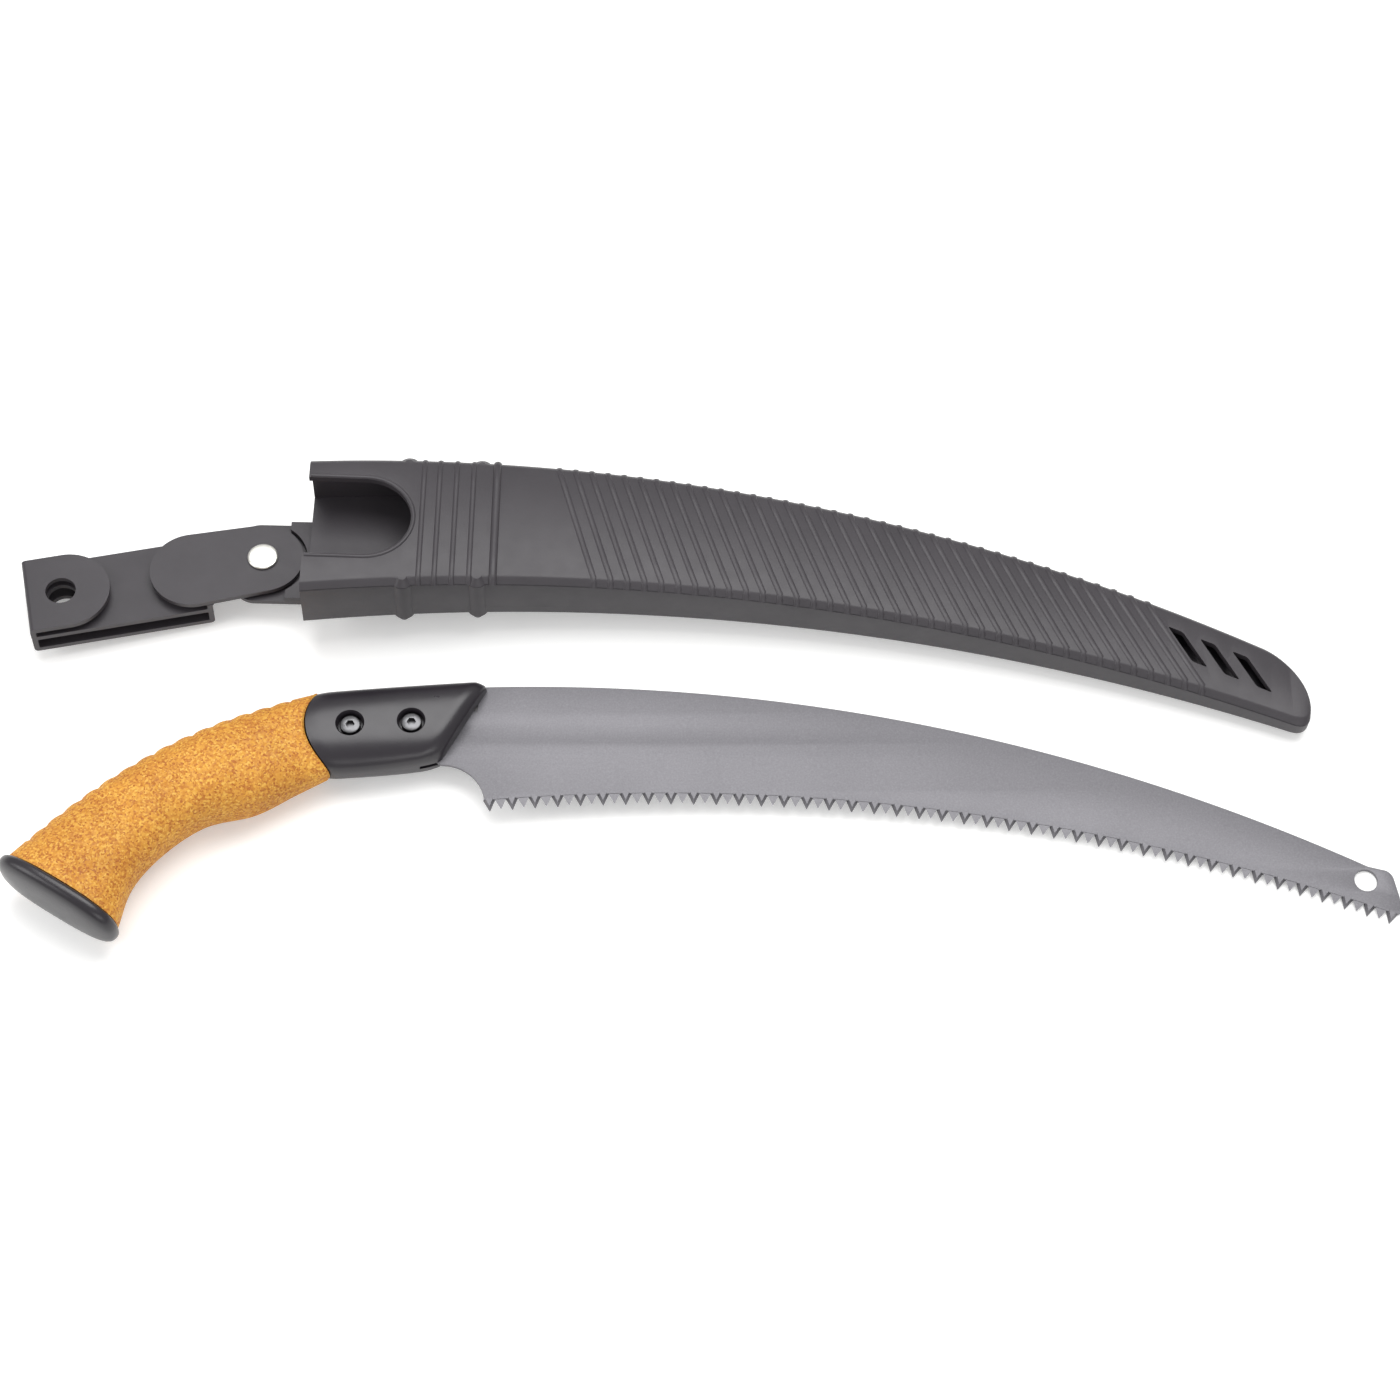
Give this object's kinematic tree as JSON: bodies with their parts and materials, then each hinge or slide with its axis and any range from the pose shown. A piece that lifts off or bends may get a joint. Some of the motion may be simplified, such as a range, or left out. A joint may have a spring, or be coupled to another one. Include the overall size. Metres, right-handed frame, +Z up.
{
  "type": "pruning saw",
  "caption": "Curved-blade pruning saw with a pistol grip, beside its ribbed plastic scabbard on a swivelling belt hanger.",
  "frame": {"origin": "middle of the footprint of saw and scabbard as they lie, on the table surface", "axes": "+X from handle to blade tip, +Y from the saw towards the scabbard, +Z up from the table"},
  "size_m": [0.5204, 0.195, 0.0397],
  "materials": {
    "blade_steel": "matt grey low-friction coating",
    "bolt_steel": "blackened",
    "rivet_metal": "satin",
    "spring_steel": "plain",
    "black_plastic": "moulded, fine satin",
    "gloss_plastic": "moulded, semi-gloss",
    "cork_rubber": "orange cork and rubber granulate"
  },
  "bodies": {
    "scabbard": {"scabbard_back_shell": "black_plastic", "scabbard_front_shell": "black_plastic", "shell_screw_1": "bolt_steel", "shell_screw_2": "bolt_steel", "shell_screw_3": "bolt_steel", "shell_screw_4": "bolt_steel", "blade_retainer": "spring_steel", "retainer_rivet": "rivet_metal", "hanger_rivet": "rivet_metal", "swivel_washer": "gloss_plastic", "rivet_burr": "rivet_metal"},
    "hanger": {"belt_hanger": "black_plastic"},
    "saw": {"blade": "blade_steel", "ferrule": "gloss_plastic", "grip": "cork_rubber", "butt_cap": "gloss_plastic", "cap_screw": "bolt_steel", "bolt_front": "bolt_steel", "bolt_rear": "bolt_steel", "nut_front": "bolt_steel", "nut_rear": "bolt_steel"}
  },
  "joints": [
    {"name": "hanger_swivel", "type": "hinge", "parent": "scabbard", "child": "hanger", "pos_m": [-0.1674, 0.06176, 0.01298], "axis": [0.0435, 0.0944, 0.9946], "range_deg": [-64, 38]},
    {"name": "saw_lift", "type": "slide", "parent": "scabbard", "child": "saw", "axis": [0, 0, 1], "range_m": [0, 0.3]}
  ]
}
